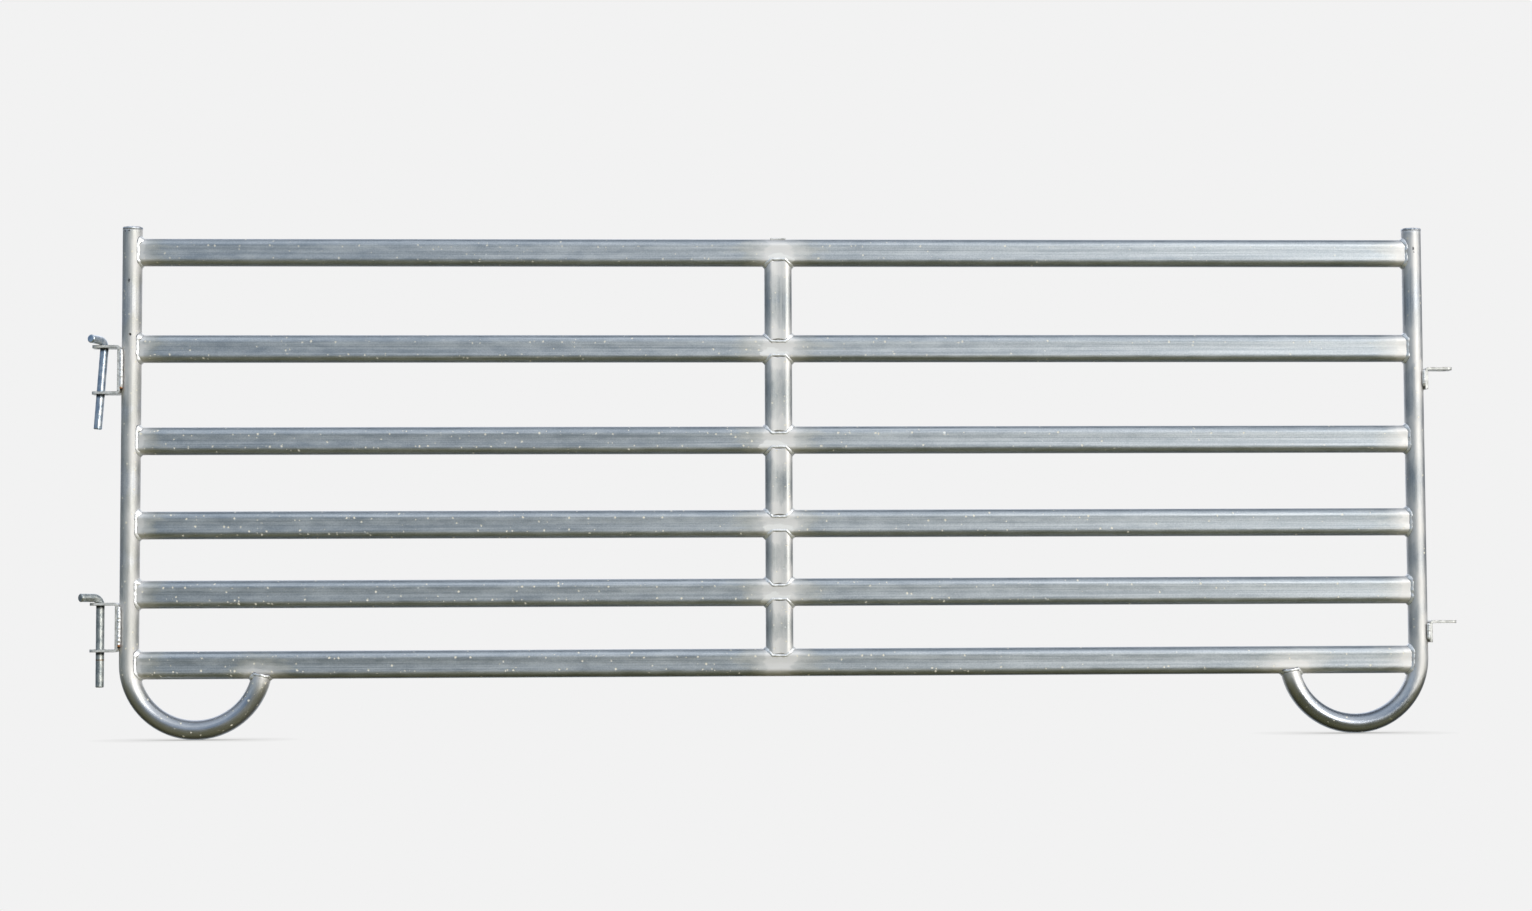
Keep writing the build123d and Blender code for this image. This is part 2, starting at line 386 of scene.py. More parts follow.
def post_wall(side, radius, s, turn):
    """Points of a post's wall at a run s from its top and a turn from its front to its outer side.

    Down the straight the centre line drops by s; after it the centre line and the outer side turn
    together about the bend's centre, by the run past the bend's start over the bend's radius.
    """
    bend = np.clip((s - post_straight) / FOOT_BEND_RADIUS, 0, None)
    reach = FOOT_BEND_RADIUS + radius * np.sin(turn)
    x = side * (bend_x + reach * np.cos(bend))
    z = bend_height + np.clip(post_straight - s, 0, None) - reach * np.sin(bend)
    return stack(x, -radius * np.cos(turn), z)


def foot_end(radius, turn):
    """The run at which a post's wall meets the bottom rail's underside, or the end of the bent tube."""
    under = rail_heights[0] - oval_flat - oval_end_rise(radius * np.cos(turn))
    meet = pi - np.arcsin(np.clip((bend_height - under) / (FOOT_BEND_RADIUS + radius * np.sin(turn)), 0, 1))
    return post_straight + FOOT_BEND_RADIUS * np.minimum(foot_end_turn, meet)


def round_vent(s, turn):
    """The grid near the vent drawn in from squares to circles, and the square that the vent takes out.

    A square ring about the vent is shrunk to the circle inside it, less and less with distance.
    """
    down, across = s - vent_drop, turn * post_radius
    ring = np.maximum(np.abs(down), np.abs(across))
    shrink = ring / np.maximum(np.hypot(down, across), 1e-9)
    share = np.clip((VENT_REACH - ring) / (VENT_REACH - VENT_RADIUS), 0, 1)
    scale = 1 + share * (shrink - 1)
    just_past_rim = VENT_RADIUS + VENT_STEP / 2
    rows = np.flatnonzero(np.abs(down[:, 0]) < just_past_rim)
    columns = np.flatnonzero(np.abs(across[0]) < just_past_rim)
    hole = (rows[0], rows[-1], columns[0], columns[-1])
    return vent_drop + down * scale, across * scale / post_radius, hole


def post(word, side, material):
    """A round tube down to its foot, the foot bent round and up to the bottom rail."""
    down = lines(0, post_straight, POST_STEP, [(vent_drop, VENT_REACH, VENT_STEP)])
    across = lines(-pi, pi, POST_TURN_STEP, [(0, VENT_REACH / post_radius, VENT_STEP / post_radius)])
    turn = -side * across
    bend = np.linspace(0, 1, BEND_ROWS)[1:, None]

    def run(radius):
        """Runs from the top at each row and column: even down the straight, then shares of the bend."""
        straight = np.repeat(down[:, None], len(turn), 1)
        return np.concatenate([straight, post_straight + bend * (foot_end(radius, turn) - post_straight)])

    inner_radius = post_radius - POST_WALL
    s, inner_s = run(post_radius), run(inner_radius)
    turns = np.broadcast_to(turn, s.shape)
    inner_turns, hole = turns, None
    if side == LEFT:
        inner_s, inner_turns, hole = round_vent(inner_s, turns)
        s, turns, hole = round_vent(s, turns)
    outside = post_wall(side, post_radius, s, turns)
    inside = post_wall(side, inner_radius, inner_s, inner_turns)
    outside_uv = stack(s + POST_RUN_STARTS[side], post_radius * turns)
    inside_uv = stack(inner_s + POST_RUN_STARTS[side], post_radius * inner_turns)
    grid = tube_shell(outside, inside, outside_uv, inside_uv, hole)
    paths = [rail_path(side, height)[0] for height in rail_heights] + [foot_path(side)[0]]
    paths += [path for path, *_ in groove_paths(side)]
    return piece(f"{word}_post_tube", [grid], material, {"weld_heat": heat_of(paths, HEAT_REACHES[side])})


def post_cap(word, side, notch, material):
    """A pressed disc on a post's end: flat underside, upright rim and crowned top, turned about the post.

    The crown falls with the square of the radius. The rim wanders by slow waves, and a notch, if there is
    one, is a bell-shaped dent in the crown's front edge.
    """
    rim_radius = cap_high.y
    crown = cap_high.z - post_top - CAP_RIM
    inward = np.linspace(1, CAP_POLE / rim_radius, CAP_CROWN_ROWS)
    edge = np.linspace(0, pi / 2, CAP_EDGE_ROWS)
    under = np.linspace(CAP_POLE, rim_radius - CAP_EDGE, CAP_UNDER_ROWS)
    lower_r, lower_z = rim_radius - CAP_EDGE * (1 - np.sin(edge)), CAP_EDGE * (1 - np.cos(edge))
    r = np.concatenate([under[:-1], lower_r, inward * (rim_radius - CAP_TOP_INSET)])[:, None]
    top = CAP_RIM + crown * (1 - inward**2)
    z = np.concatenate([0 * under[:-1], lower_z, top])[:, None]
    turn = np.linspace(0, 2 * pi, CAP_COLUMNS, endpoint=False)
    lift = smooth(z / CAP_RIM)
    r = r + CAP_RIM_WANDER * waves(CAP_COLUMNS, CAP_RIM_WAVES) * (r / rim_radius) ** 4
    z = z + CAP_CROWN_WANDER * waves(CAP_COLUMNS, CAP_CROWN_WAVES) * lift * (r / rim_radius) ** 2
    off = np.angle(np.exp(1j * (turn + pi / 2 - NOTCH_PLACE)))
    dent = np.exp(-((off / NOTCH_WIDTH) ** 2)) * smooth((r / rim_radius - NOTCH_START) / NOTCH_FADE)
    z = z - notch * dent * lift
    points = stack(side * post_x + r * np.cos(turn), r * np.sin(turn), post_top + z)
    return piece(f"{word}_cap_disc", [surface(points, closed=False)], material)


# Weld lines, each a path with the outward directions of the two surfaces that it joins

def rail_path(side, height):
    """The line where a rail's end meets its post: round the oval, at the post's inner side."""
    v = np.linspace(0, oval_girth, SEAM_POINTS, endpoint=False)
    depth, rise, out_depth, out_rise = oval(v)
    path = stack(side * post_reach(depth, height + rise), depth, height + rise)
    chord = np.sqrt(post_radius**2 - depth**2)
    return path, stack(0 * v, out_depth, out_rise), stack(-side * chord, depth, 0 * v) / post_radius


def upright_path(height, way):
    """The line where an upright's end meets a rail: round the oval, on the rail's rounded edge."""
    v = np.linspace(0, oval_girth, SEAM_POINTS, endpoint=False)
    depth, width, out_depth, out_width = oval(v)
    rise = oval_end_rise(depth)
    path = stack(width, depth, height + way * (oval_flat + rise))
    return path, stack(out_width, out_depth, 0 * v), stack(0 * v, depth, way * rise) / oval_end_radius


def foot_path(side):
    """The line where a foot's end meets the bottom rail's underside: round the tube, at its run's end."""
    turn = np.linspace(0, 2 * pi, SEAM_POINTS, endpoint=False)
    s = foot_end(post_radius, turn)
    path = post_wall(side, post_radius, s, turn)
    tube_out = unit(path - post_wall(side, 0.0, s, turn))
    depth = np.clip(path[:, 1], -oval_end_radius, oval_end_radius)
    return path, tube_out, stack(0 * depth, depth, -oval_end_rise(depth)) / oval_end_radius


def groove_paths(side):
    """The upright lines in front of and behind the bars, in the grooves between them and a post."""
    boxes, half = (bracket_boxes, BRACKET_BEAD_HALF) if side == LEFT else (lug_boxes, LUG_BEAD_HALF)
    x = side * (post_x + post_radius - GROOVE_BEAD_SHIFT)
    paths = []
    for low, high in boxes:
        z = (low.z + high.z) / 2 + np.linspace(-half, half, GROOVE_POINTS)
        for way in (-1, 1):
            path = stack(x, way * (bar_half_width - GROOVE_BEAD_INSET), z)
            out = stack(0 * z, way, 0 * z)
            paths.append((path, out, out))
    return paths


# Marks on the tubes and beads, each a function that gives every point a number from 0 to 1

def heat_of(paths, reach):
    """Nearness to weld lines: 1 on one, falling off exponentially with the distance from the nearest."""
    every_fourth = np.concatenate([path[::4] for path in paths])

    def heat(points):
        square = (points**2).sum(1)[:, None] + (every_fourth**2).sum(1) - 2 * points @ every_fourth.T
        return np.exp(-np.sqrt(np.maximum(square.min(1), 0)) / reach)

    return heat


def rail_heat(height):
    """A rail's heat: that of its end welds and the feet's, and round the uprights a band along it.

    The band falls off with the distance from the upright, where distances across the rail count half.
    """
    ends = []
    for side, reach in HEAT_REACHES.items():
        paths = [rail_path(side, height)[0]]
        if height == rail_heights[0]:
            paths.append(foot_path(side)[0])
        ends.append(heat_of(paths, reach))
    welded = [way for way, last in ((1, rail_heights[-1]), (-1, rail_heights[0])) if height != last]

    def heat(points):
        along = np.maximum(np.abs(points[:, 0]) - MIDDLE_HEAT_HALF, 0)
        off = np.min([np.abs(points[:, 2] - height - way * oval_flat) for way in welded], 0)
        middle = np.exp(-np.hypot(along, off / 2) / MIDDLE_HEAT_REACH)
        return np.max([middle] + [end(points) for end in ends], 0)

    return heat


def upright_heat(low, high):
    """An upright's heat, falling off exponentially with the distance from the nearer of its ends."""

    def heat(points):
        off = np.minimum(points[:, 2] - low, high - points[:, 2]) - oval_flat
        return np.exp(-off / UPRIGHT_HEAT_REACH)

    return heat


def zinc_run(height, lean):
    """The zinc run on a rail's front above an upright: 1 at its weld, falling to 0 at a half oval's edge."""

    def run(points):
        along = (points[:, 0] - lean) / ZINC_RUN_HALF
        up = (points[:, 2] - height + oval_flat) / ZINC_RUN_RISE
        over_upright = (points[:, 1] < 0) & (height > rail_heights[0])
        return np.where(over_upright, np.clip(1 - np.hypot(along, up), 0, 1), 0)

    return run


def bead_rust(points):
    """1 at the lower end of a bracket's weld run, falling to 0 a short way up."""
    low_ends = [(low.z + high.z) / 2 - BRACKET_BEAD_HALF for low, high in bracket_boxes]
    above = np.stack([points[:, 2] - low_end for low_end in low_ends])
    return smooth(1 - np.abs(above).min(0) / BEAD_RUST_RISE)


# Weld beads

def waves(count, harmonics):
    """A smooth uneven loop of numbers about zero: cosines of the given harmonics at random phases."""
    turn = np.linspace(0, 2 * pi, count, endpoint=False)[:, None]
    phase = rng.uniform(0, 2 * pi, len(harmonics))
    return np.cos(turn * harmonics + phase).sum(1) / np.sqrt(len(harmonics))


def weld_run(path, out_a, out_b, mound, fillet, taper=1.0, closed=True, lumps=BEAD_LUMPS):
    """A weld bead: a low oval section carried along a path.

    mound gives the oval's half height outwards and half width across where the two surfaces lie flush,
    and fillet where they stand square; between them the sizes follow the angle. Inside the metal the
    height is halved. The oval swells once at each ripple, with the crest bowed back in the middle, and
    wanders by slow uneven lumps. The rim mark is 0 on the crown and 1 where the bead meets a surface.
    """
    count = len(path)
    if closed:
        step = np.roll(path, -1, 0) - np.roll(path, 1, 0)
    else:
        step = np.gradient(path, axis=0)
    ahead = unit(step)
    across = unit(np.cross(ahead, out_a + out_b))
    out = np.cross(across, ahead)
    flush = np.clip((out_a * out_b).sum(1), 0, 1)
    square = (1 - flush) ** BEAD_SQUARE_POWER
    length = np.linalg.norm(step, axis=1).sum() / (2 if closed else 1)
    phase = 2 * pi * np.arange(count) / count * round(length / BEAD_RIPPLE)
    turn = np.linspace(0, 2 * pi, BEAD_COLUMNS, endpoint=False)
    swell = 1 + BEAD_RIPPLE_SHARE * np.cos(phase[:, None] + BEAD_RIPPLE_BOW * np.cos(turn))
    for weight in (1, np.cos(turn), np.sin(turn)):
        swell = swell + lumps * waves(count, BEAD_LUMP_WAVES)[:, None] * weight
    swell = swell * np.broadcast_to(taper, count)[:, None]
    height, width = ((low + (high - low) * square)[:, None] * swell for low, high in zip(mound, fillet))
    height = height * np.cos(turn) * np.where(np.cos(turn) < 0, BEAD_BURIED_SHARE, 1)
    width = width * np.sin(turn)
    points = path[:, None] + height[..., None] * out[:, None] + width[..., None] * across[:, None]
    surface_turn = pi / 2 - np.arccos(flush) / 2
    rim = np.arctan2(np.abs(width), height) / surface_turn[:, None]
    return surface(points, closed=closed, marks={"rim": rim})


def start_swell(side, out):
    """Shares of a bead's size round an oval, largest where the run started, at its upper front."""
    upper_front = np.clip(-2 * out[:, 1] * np.maximum(out[:, 2], 0), 0, 1)
    return 1 + BEAD_START_SWELLS[side] * upper_front**2


def run_taper(count):
    """Shares of a bead's size along an open run, drawn in at both ends by a root curve."""
    t = np.linspace(-1, 1, count)
    return GROOVE_END_SHARE + (1 - GROOVE_END_SHARE) * np.sqrt(np.clip(1 - t**6, 0, 1))


# Materials

# Sizes of the patterns on the tubes, along the run and round it. The zinc's real grain, about 1 mm, is too
# fine to show in the render, so on tubes, bars and beads it is drawn two to four times as coarse.
BROAD_ROLL_LINE = (0.8, 0.007, 1)
THIN_ROLL_LINE = (0.35, 0.0022, 1)
ZINC_PATCH = (0.06, 0.02, 1)
ZINC_GRAIN = (0.0028, 0.0024, 1)
ZINC_FLOW = (0.03, 0.012, 1)

# Sizes of the patterns in bars and beads, the same each way
BAR_CLOUD = (0.012, 0.012, 0.012)
BAR_GRAIN = (0.0025, 0.0025, 0.0025)
BEAD_GRAIN = (0.004, 0.004, 0.004)
RIM_BREAK = (0.012, 0.012, 0.012)

# Specks: how far apart their cells lie, and the largest one's radius
CHAFF = (0.009, 0.0031)
ZINC_DROPS = (0.03, 0.004)
RUST_SPOTS = (0.04, 0.0035)
BAR_PITS = (0.008, 0.0016)
BEAD_PITS = (0.009, 0.0026)

# Heights between which chaff grows commoner, places between which chaff and straw tint do, and how far
# the scoured feet take to fade
CHAFF_HIGH, CHAFF_LOW = 1.3, 0.3
CHAFF_RIGHT, CHAFF_LEFT = 1.2, -0.8
SCOUR_FADE = 0.08

# Settings that nodes share. A colour mix takes a share as 0 and two colours as 6 and 7. A range takes a
# value as 0, the range that it comes from as 1 and 2, and the one that it goes to, from 0 to 1 if not
# given, as 3 and 4.
COLOUR_MIX = {"data_type": "RGBA", "output": 2}
S_CURVE = {"interpolation_type": "SMOOTHSTEP"}


def linear(colour):
    """An sRGB hex colour as linear RGBA."""
    value = np.array([int(colour[i : i + 2], 16) for i in (1, 3, 5)]) / 255
    value = np.where(value <= 0.04045, value / 12.92, ((value + 0.055) / 1.055) ** 2.4)
    return (*value, 1.0)


def feed(node, inputs):
    """A node's inputs set to values, sRGB hex colours among them, or linked to other nodes' outputs."""
    for socket, value in inputs.items():
        if isinstance(value, bpy.types.NodeSocket):
            node.id_data.links.new(value, node.inputs[socket])
        else:
            node.inputs[socket].default_value = linear(value) if isinstance(value, str) else value


def add(tree, kind, inputs=None, output=0, **settings):
    """A new node of this kind with its settings and links, given by one of its outputs."""
    node = tree.nodes.new("ShaderNode" + kind)
    for name, value in settings.items():
        setattr(node, name, value)
    feed(node, inputs or {})
    return node.outputs[output]


def new_material(name):
    """A new material, its nodes and its shader."""
    material = bpy.data.materials.new(name)
    material.use_nodes = True
    return material, material.node_tree, material.node_tree.nodes["Principled BSDF"]


def fade(tree, value, start, stop, below, above):
    """A colour that goes from one to another along an S curve as a value goes from start to stop."""
    share = add(tree, "MapRange", {0: value, 1: start, 2: stop}, **S_CURVE)
    return add(tree, "Mix", {0: share, 6: below, 7: above}, **COLOUR_MIX)


def cloud(tree, where, size, detail=4.0, roughness=0.6, shift=0.0):
    """Soft clouds whose blobs measure about size along each axis."""
    spread = {"Vector": where, "Location": (shift, shift, shift), "Scale": tuple(1 / x for x in size)}
    noise = {"Vector": add(tree, "Mapping", spread), "Scale": 1.0, "Detail": detail, "Roughness": roughness}
    return add(tree, "TexNoise", noise, "Fac")


def specks(tree, where, spacing, radius, share, shift=0.0):
    """Scattered round specks, one in each of a share of cells that lie a spacing apart.

    A speck measures a third to all of the radius and fades from half way out. Noise bends the cells, so
    that the specks are uneven.
    """
    scale = (1 / spacing, 1 / spacing, 1 / spacing)
    spread = add(tree, "Mapping", {"Vector": where, "Location": (shift, shift, shift), "Scale": scale})
    wobble = add(tree, "TexNoise", {"Vector": spread, "Scale": 2.5, "Detail": 2.0}, "Color")
    spread = add(tree, "VectorMath", {0: wobble, 1: (0.5, 0.5, 0.5), 2: spread}, operation="MULTIPLY_ADD")
    cells = add(tree, "TexVoronoi", {"Vector": spread, "Scale": 1.0}).node.outputs
    chance = add(tree, "SeparateColor", {0: cells["Color"]}).node.outputs
    held = add(tree, "Math", {0: chance[0], 1: share}, operation="LESS_THAN")
    rim = add(tree, "MapRange", {0: chance[1], 3: radius / spacing / 3, 4: radius / spacing}, **S_CURVE)
    core = add(tree, "Math", {0: rim, 1: 0.5}, operation="MULTIPLY")
    inside = add(tree, "MapRange", {0: cells["Distance"], 1: rim, 2: core})
    return add(tree, "Math", {0: held, 1: inside}, operation="MULTIPLY")


def heat_tints(tree, patches, leftward):
    """Shares of the straw tint round a weld, stronger to the left, and of the white matt zinc inside it."""
    heat = add(tree, "Attribute", output="Fac", attribute_name="weld_heat")
    ragged = add(tree, "Math", {0: patches, 1: 0.7, 2: heat}, operation="MULTIPLY_ADD")
    straw = add(tree, "MapRange", {0: ragged, 1: 0.5, 2: 0.7, 4: 0.3}, **S_CURVE)
    straw = add(tree, "Math", {0: straw, 1: leftward}, operation="MULTIPLY")
    halo = add(tree, "MapRange", {0: ragged, 1: 0.48, 2: 1.1, 4: 0.75}, **S_CURVE)
    core = add(tree, "MapRange", {0: ragged, 1: 0.93, 2: 1.03, 4: 0.25}, **S_CURVE)
    return straw, add(tree, "Math", {0: halo, 1: core}, operation="ADD")


def zinc_flow(tree, run):
    """Shares of the bright zinc that ran over a rail: clouds plus the mark, cut off at a level."""
    mark = add(tree, "Attribute", output="Fac", attribute_name="zinc_run")
    flow = cloud(tree, run, ZINC_FLOW, 3, 0.5, shift=6.1)
    flow = add(tree, "Math", {0: flow, 1: 1.2, 2: mark}, operation="MULTIPLY_ADD")
    flow = add(tree, "MapRange", {0: flow, 1: 0.92, 2: 0.97}, **S_CURVE)
    marked = add(tree, "MapRange", {0: mark, 1: 0.02, 2: 0.1}, **S_CURVE)
    return add(tree, "Math", {0: flow, 1: marked}, operation="MULTIPLY")


def stuck_chaff(tree, run, leftward, low_down):
    """Shares of stuck chaff: specks, commonest 2 mm and less from the lines where the oval's sides turn."""
    across = add(tree, "SeparateXYZ", {0: run}, "Y")
    across = add(tree, "Math", {0: across}, operation="ABSOLUTE")
    edge = add(tree, "Math", {0: across, 1: oval_flat}, operation="SUBTRACT")
    edge = add(tree, "Math", {0: edge}, operation="ABSOLUTE")
    chance = add(tree, "MapRange", {0: edge, 1: 0.008, 2: 0.002, 3: 0.16, 4: 0.6}, **S_CURVE)
    chance = add(tree, "Math", {0: chance, 1: leftward}, operation="MULTIPLY")
    found = specks(tree, run, *CHAFF, chance)
    return add(tree, "Math", {0: found, 1: low_down}, operation="MULTIPLY")


def nick(tree, run, grain, down, round_by, half_length, half_width):
    """Shares of a dark nick: an oval at a place on the run, its edge made ragged by the grain."""
    scale = (1 / half_length, 1 / half_width, 1)
    shift = (-down / half_length, -round_by / half_width, 0)
    off = add(tree, "Mapping", {"Vector": run, "Location": shift, "Scale": scale})
    off = add(tree, "VectorMath", {0: off}, "Value", operation="LENGTH")
    off = add(tree, "Math", {0: grain, 1: 2.5, 2: off}, operation="MULTIPLY_ADD")
    return add(tree, "MapRange", {0: off, 1: 2.6, 2: 1.8, 4: 0.9}, **S_CURVE)


def galvanised_tube(name, dark, light, roughness, scoured_below=None, nicks=()):
    """Hot-dip galvanised, roll-formed steel tube, scoured darker and shinier below a height if one is given.

    It shows satin zinc with lengthwise lines from the rolls, a fine grain, whiter matt zones where welds
    heated it, runs of bright zinc, dark nicks, drops of zinc, and stuck chaff, more of it low down and to
    the left.
    """
    material, tree, shader = new_material(name)
    run = add(tree, "UVMap", uv_map="run")
    x, _, z = add(tree, "SeparateXYZ", {0: add(tree, "TexCoord", output="Object")}).node.outputs
    low_down = add(tree, "MapRange", {0: z, 1: CHAFF_HIGH, 2: CHAFF_LOW, 3: 0.6, 4: 1.0}, **S_CURVE)
    leftward = add(tree, "MapRange", {0: x, 1: CHAFF_RIGHT, 2: CHAFF_LEFT, 3: 0.3, 4: 1.0}, **S_CURVE)
    broad_lines = cloud(tree, run, BROAD_ROLL_LINE, 3, 0.5)
    thin_lines = cloud(tree, run, THIN_ROLL_LINE, 2, 0.5, shift=3.7)
    patches = cloud(tree, run, ZINC_PATCH, 5, 0.65, shift=8.1)
    grain = cloud(tree, run, ZINC_GRAIN, 2, 0.55, shift=1.3)
    straw, hot = heat_tints(tree, patches, leftward)
    chaff = stuck_chaff(tree, run, leftward, low_down)
    drops = specks(tree, run, *ZINC_DROPS, 0.16, shift=2.2)
    rust = specks(tree, run, *RUST_SPOTS, 0.06, shift=6.6)
    rusty = add(tree, "Math", {0: rust, 1: 0.8}, operation="MULTIPLY")

    # Tone of the bare zinc, then each coat over what lies below it
    tone = thin_lines
    for pattern, weight in ((broad_lines, 1.3), (patches, 0.8), (grain, 0.9)):
        tone = add(tree, "Math", {0: pattern, 1: weight, 2: tone}, operation="MULTIPLY_ADD")
    colour = fade(tree, tone, 1.5, 2.5, dark, light)
    coats = [(straw, "#B3AE94"), (hot, "#EAE7E4"), (zinc_flow(tree, run), "#F4F2EF"), (chaff, "#FFF6E2")]
    coats += [(drops, "#EDEDEA"), (rusty, "#8A5A36")]
    coats += [(nick(tree, run, grain, *sizes), "#2F3038") for sizes in nicks]
    dull = add(tree, "Math", {0: chaff, 1: hot}, operation="MAXIMUM")
    rough = {0: patches, 1: 0.3, 2: 0.7, 3: roughness - 0.05, 4: roughness + 0.05}
    rough = add(tree, "MapRange", rough, **S_CURVE)
    rough = add(tree, "Math", {0: dull, 1: 0.12, 2: rough}, operation="MULTIPLY_ADD")
    if scoured_below is not None:
        scoured = add(tree, "MapRange", {0: z, 1: scoured_below, 2: scoured_below - SCOUR_FADE}, **S_CURVE)
        bare = add(tree, "Math", {0: scoured, 1: 0.55}, operation="MULTIPLY")
        coats.insert(0, (bare, "#9298A2"))
        rough = add(tree, "Math", {0: scoured, 1: -0.2, 2: rough}, operation="MULTIPLY_ADD")
    for share, over in coats:
        colour = add(tree, "Mix", {0: share, 6: colour, 7: over}, **COLOUR_MIX)
    metal = add(tree, "MapRange", {0: chaff, 3: 0.85, 4: 0.0}, **S_CURVE)

    lumps = add(tree, "Math", {0: drops, 1: chaff}, operation="MAXIMUM")
    relief = thin_lines
    for pattern, weight in ((grain, 0.25), (patches, 0.6), (lumps, 1.5)):
        relief = add(tree, "Math", {0: pattern, 1: weight, 2: relief}, operation="MULTIPLY_ADD")
    bump = add(tree, "Bump", {"Height": relief, "Strength": 0.25, "Distance": 0.0004})
    feed(shader, {"Base Color": colour, "Metallic": metal, "Roughness": rough, "Normal": bump})
    return material


def seat_shade_and_wear(tree, height, seats, ring):
    """Coats on a bar that hangs in holes: painted shade just below each seat's height, under the flange, and
    a rust ring if given.
    """
    coats = []
    for seat in seats:
        below = {0: height, 1: seat - SEAT_SHADE_DEPTH, 2: seat - SEAT_SHADE_DEPTH / 3}
        above = {0: height, 1: seat + BAR_THICKNESS, 2: seat, 4: 0.92}
        below, above = (add(tree, "MapRange", span, **S_CURVE) for span in (below, above))
        # Painted shade: a dark band on the bar just under each flange, where the flange shades it
        coats.append((add(tree, "Math", {0: below, 1: above}, operation="MULTIPLY"), "#242524"))
    if ring is not None:
        off = add(tree, "Math", {0: height, 1: ring}, operation="SUBTRACT")
        off = add(tree, "Math", {0: off}, operation="ABSOLUTE")
        worn = add(tree, "MapRange", {0: off, 1: PIN_RING_HALF, 2: PIN_RING_HALF / 2}, **S_CURVE)
        coats.append((worn, "#8A6A3C"))
    return coats


def galvanised_bar(name, light, dark, metallic, roughness, edge_shade=0.0, fleck=0.0, seats=(), ring=None):
    """Galvanised hot-rolled bar: thick zinc in soft clouds and over soft edges, with flecks and small pits.

    The edges may be darkened with painted shade, and a bar that hangs in holes shows painted shade just
    below each seat and its wear.
    """
    material, tree, shader = new_material(name)
    place = add(tree, "TexCoord", output="Object")
    height = add(tree, "SeparateXYZ", {0: place}, "Z")
    clouds = cloud(tree, place, BAR_CLOUD, 5)
    grain = cloud(tree, place, BAR_GRAIN, 2, shift=4.0)
    flecks = add(tree, "MapRange", {0: grain, 1: 0.52, 2: 0.62, 4: fleck}, **S_CURVE)
    pits = specks(tree, place, *BAR_PITS, 0.3)
    pitted = add(tree, "Math", {0: pits, 1: 0.7}, operation="MULTIPLY")
    soft_edges = add(tree, "Bevel", {"Radius": BAR_EDGE}, samples=6)
    face = add(tree, "NewGeometry", output="Normal")
    flat = add(tree, "VectorMath", {0: soft_edges, 1: face}, "Value", operation="DOT_PRODUCT")
    # Painted shade: the bar's colour darkens where the rounded edge's normal turns away from the face
    painted_edge_shade = add(tree, "MapRange", {0: flat, 1: 0.99, 2: 0.88, 4: edge_shade}, **S_CURVE)
    colour = fade(tree, clouds, 0.35, 0.65, dark, light)
    coats = [(flecks, "#F3F2EE"), (pitted, "#57564F"), *seat_shade_and_wear(tree, height, seats, ring)]
    for share, over in [*coats, (painted_edge_shade, "#4E4A42")]:
        colour = add(tree, "Mix", {0: share, 6: colour, 7: over}, **COLOUR_MIX)
    relief = add(tree, "Math", {0: clouds, 1: 2.0, 2: grain}, operation="MULTIPLY_ADD")
    relief = add(tree, "Math", {0: pits, 1: -1.0, 2: relief}, operation="MULTIPLY_ADD")
    bump = add(tree, "Bump", {"Height": relief, "Strength": 0.3, "Distance": 0.0005, "Normal": soft_edges})
    feed(shader, {"Base Color": colour, "Metallic": metallic, "Roughness": roughness, "Normal": bump})
    return material


def weld_metal():
    """Zinc-coated weld metal: bright, with dark pits, a broken dark line of painted shade at the rim where
    the bead meets a surface, and rust if marked.
    """
    material, tree, shader = new_material("zinc_coated_weld_metal")
    place = add(tree, "TexCoord", output="Object")
    grain = cloud(tree, place, BEAD_GRAIN, 3)
    pits = specks(tree, place, *BEAD_PITS, 0.22)
    pitted = add(tree, "Math", {0: pits, 1: 0.8}, operation="MULTIPLY")
    # Painted shade: a broken dark line in the crease where the bead meets a surface
    rim = add(tree, "Attribute", output="Fac", attribute_name="rim")
    rim = add(tree, "MapRange", {0: rim, 1: 0.82, 2: 0.95, 4: 0.85}, **S_CURVE)
    kept = cloud(tree, place, RIM_BREAK, 2, 0.5, shift=5.5)
    kept = add(tree, "MapRange", {0: kept, 1: 0.42, 2: 0.52}, **S_CURVE)
    rim_shade = add(tree, "Math", {0: rim, 1: kept}, operation="MULTIPLY")
    rust = add(tree, "Attribute", output="Fac", attribute_name="rust")
    stain = add(tree, "Math", {0: grain, 1: 0.9, 2: rust}, operation="MULTIPLY_ADD")
    brown = add(tree, "MapRange", {0: stain, 1: 0.75, 2: 1.0}, **S_CURVE)
    black = add(tree, "MapRange", {0: stain, 1: 1.15, 2: 1.35}, **S_CURVE)
    metal = add(tree, "MapRange", {0: stain, 1: 0.75, 2: 1.0, 3: 0.6, 4: 0.05}, **S_CURVE)
    colour = fade(tree, grain, 0.3, 0.48, "#D9D7D4", "#FAF9F8")
    for share, over in ((pitted, "#4B4A48"), (rim_shade, "#383A44"), (brown, "#B5713A"), (black, "#2A2320")):
        colour = add(tree, "Mix", {0: share, 6: colour, 7: over}, **COLOUR_MIX)
    relief = add(tree, "Math", {0: pits, 1: -1.2, 2: grain}, operation="MULTIPLY_ADD")
    bump = add(tree, "Bump", {"Height": relief, "Strength": 0.4, "Distance": 0.0008})
    feed(shader, {"Base Color": colour, "Metallic": metal, "Roughness": 0.4, "Normal": bump})
    return material


# Stage

PALE = "#F2F2F2"
FLOOR_RADIUS = 60.0
FLOOR_SIDES = 64
FLOOR_SHADE = "#8A8A86"
FLOOR_SHADE_REACH = 0.12

